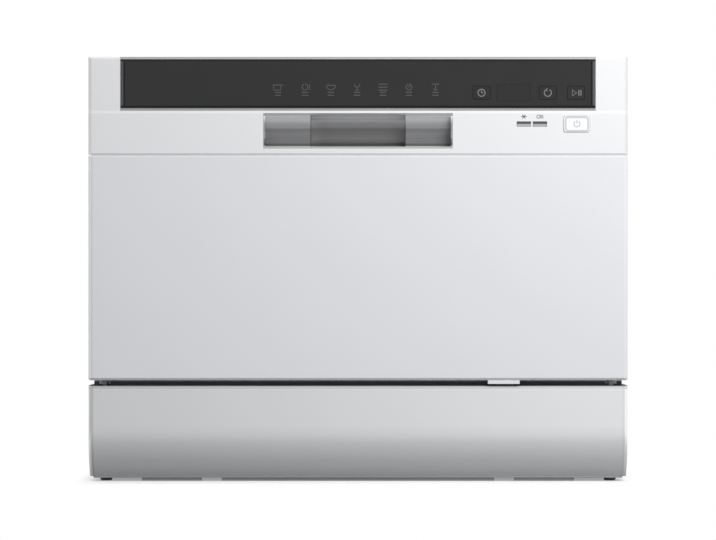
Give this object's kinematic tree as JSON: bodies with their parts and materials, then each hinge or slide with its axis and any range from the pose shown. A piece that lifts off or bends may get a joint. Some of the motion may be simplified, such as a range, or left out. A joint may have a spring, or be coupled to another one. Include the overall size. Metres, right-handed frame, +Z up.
{
  "type": "countertop dishwasher",
  "caption": "Countertop dishwasher with a drop down door, a dark control strip, a recessed handle, a curved kickplate, and a wheeled basket over a spray arm in a steel tub.",
  "frame": {"origin": "middle of the footprint, on the surface that the feet stand on", "axes": "+X to the right seen from the front, +Y to the back, +Z up; the door is on the -Y side"},
  "size_m": [0.55, 0.5, 0.434],
  "materials": {
    "white_paint": "smooth satin white powder coat",
    "white_plastic": "fine satin moulding",
    "dark_gloss": "polished dark strip",
    "smoked_window": "smoked display window",
    "dark_key": "dark satin key",
    "white_key": "white satin key with a grey outline",
    "lamp_lens": "grey diffusing lens",
    "handle_silver": "dark silver moulding",
    "steel": "fine brushed stainless sheet",
    "zinc": "zinc plated",
    "galvanised": "galvanised sheet",
    "black_plastic": "black moulded base",
    "grey_plastic": "grey washing part",
    "dark_grey_plastic": "dark grey moulding",
    "pale_plastic": "pale grey moulding",
    "blue_grey": "blue grey moulding",
    "foot_grey": "light grey foot",
    "seal": "black seal",
    "hose": "black hose",
    "board": "green circuit board",
    "nylon_wire": "grey nylon coated wire",
    "motor": "grey motor"
  },
  "bodies": {
    "cabinet": {"cabinet_shell": "white_paint", "back_panel": "galvanised", "back_screws": "zinc", "base_tray": "black_plastic", "tray_supports": "black_plastic", "feet": "foot_grey", "kickplate": "white_plastic", "tub": "steel", "door_gasket": "seal", "bottom_seal": "seal", "sump": "dark_grey_plastic", "filter_plate": "steel", "softener": "pale_plastic", "spray_riser": "dark_grey_plastic", "wash_pump": "motor", "wash_hose": "hose", "flow_heater": "steel", "drain_pump": "motor", "drain_hose": "hose", "drain_outlet": "black_plastic", "inlet_valve": "white_plastic", "water_box": "pale_plastic", "cord_gland": "black_plastic", "latch_striker": "steel", "hinge_bracket_left": "galvanised", "hinge_bracket_right": "galvanised"},
    "door": {"hinge_arm_left": "galvanised", "hinge_arm_right": "galvanised", "control_panel": "white_plastic", "fascia": "dark_gloss", "display_window": "smoked_window", "indicator_lamps": "lamp_lens", "handle_cup": "handle_silver", "control_board": "board", "door_front_panel": "white_paint", "door_liner": "steel", "liner_screws": "zinc", "latch_catch": "pale_plastic", "dispenser_body": "pale_plastic", "vent_spout": "white_plastic"},
    "filter": {"filter_cup": "blue_grey"},
    "salt": {"salt_cap": "dark_grey_plastic"},
    "sprayer": {"spray_arm": "grey_plastic"},
    "delay_key": {"button_delay": "dark_key"},
    "program_key": {"button_program": "dark_key"},
    "start_key": {"button_start": "dark_key"},
    "power_key": {"power_button": "white_key"},
    "detergent_lid": {"dispenser_lid": "pale_plastic"},
    "rinse_lid": {"rinse_cap": "blue_grey"},
    "wheel_fl": {"wheel_front_left": "pale_plastic"},
    "wheel_fr": {"wheel_front_right": "pale_plastic"},
    "wheel_rl": {"wheel_rear_left": "pale_plastic"},
    "wheel_rr": {"wheel_rear_right": "pale_plastic"},
    "shelf": {"cup_shelf": "grey_plastic"},
    "cutlery": {"cutlery_basket": "grey_plastic"},
    "rack": {"rack_basket": "nylon_wire", "rack_walls": "nylon_wire", "rack_tines": "nylon_wire", "rack_carriers": "nylon_wire"}
  },
  "joints": [
    {"name": "door_hinge", "type": "hinge", "parent": "cabinet", "child": "door", "pos_m": [0, -0.23, 0.0793], "axis": [1, 0, 0], "range_deg": [0, 90]},
    {"name": "rack_slide", "type": "slide", "parent": "cabinet", "child": "rack", "axis": [0, -1, 0], "range_m": [0, 0.28]},
    {"name": "front_left_wheel_spin", "type": "hinge", "parent": "rack", "child": "wheel_fl", "pos_m": [-0.2084, -0.0292, 0.1253], "axis": [1, 0, 0], "continuous": true},
    {"name": "front_right_wheel_spin", "type": "hinge", "parent": "rack", "child": "wheel_fr", "pos_m": [0.2084, -0.0292, 0.1253], "axis": [1, 0, 0], "continuous": true},
    {"name": "rear_left_wheel_spin", "type": "hinge", "parent": "rack", "child": "wheel_rl", "pos_m": [-0.2084, 0.1568, 0.1253], "axis": [1, 0, 0], "continuous": true},
    {"name": "rear_right_wheel_spin", "type": "hinge", "parent": "rack", "child": "wheel_rr", "pos_m": [0.2084, 0.1568, 0.1253], "axis": [1, 0, 0], "continuous": true},
    {"name": "spray_arm_spin", "type": "hinge", "parent": "cabinet", "child": "sprayer", "pos_m": [0, 0.018, 0.13], "axis": [0, 0, 1], "continuous": true},
    {"name": "filter_cup_turn", "type": "hinge", "parent": "cabinet", "child": "filter", "pos_m": [0, -0.048, 0.11], "axis": [0, 0, 1], "range_deg": [0, 60]},
    {"name": "salt_cap_turn", "type": "hinge", "parent": "cabinet", "child": "salt", "pos_m": [-0.15, -0.078, 0.115], "axis": [0, 0, 1], "continuous": true},
    {"name": "cup_shelf_fold", "type": "hinge", "parent": "rack", "child": "shelf", "pos_m": [-0.219, 0, 0.225], "axis": [0, -1, 0], "range_deg": [0, 85]},
    {"name": "cutlery_basket_lift", "type": "slide", "parent": "rack", "child": "cutlery", "axis": [0, 0, 1], "range_m": [0, 0.1]},
    {"name": "detergent_lid_slide", "type": "slide", "parent": "door", "child": "detergent_lid", "axis": [1, 0, 0], "range_m": [0, 0.04]},
    {"name": "rinse_cap_turn", "type": "hinge", "parent": "door", "child": "rinse_lid", "pos_m": [0.124, -0.197, 0.2253], "axis": [0, -1, 0], "range_deg": [0, 90]},
    {"name": "delay_press", "type": "slide", "parent": "door", "child": "delay_key", "axis": [0, 1, 0], "range_m": [0, 0.0012], "stiffness_N_per_m": 300},
    {"name": "program_press", "type": "slide", "parent": "door", "child": "program_key", "axis": [0, 1, 0], "range_m": [0, 0.0012], "stiffness_N_per_m": 300},
    {"name": "start_press", "type": "slide", "parent": "door", "child": "start_key", "axis": [0, 1, 0], "range_m": [0, 0.0012], "stiffness_N_per_m": 300},
    {"name": "power_press", "type": "slide", "parent": "door", "child": "power_key", "axis": [0, 1, 0], "range_m": [0, 0.0015], "stiffness_N_per_m": 300}
  ],
  "couplings": [
    {"joint": "rack_slide", "follows": "door_hinge", "m_per_rad": 0.088},
    {"joint": "front_left_wheel_spin", "follows": "door_hinge", "ratio": 7.3333},
    {"joint": "front_right_wheel_spin", "follows": "door_hinge", "ratio": 7.3333},
    {"joint": "rear_left_wheel_spin", "follows": "door_hinge", "ratio": 7.3333},
    {"joint": "rear_right_wheel_spin", "follows": "door_hinge", "ratio": 7.3333}
  ]
}
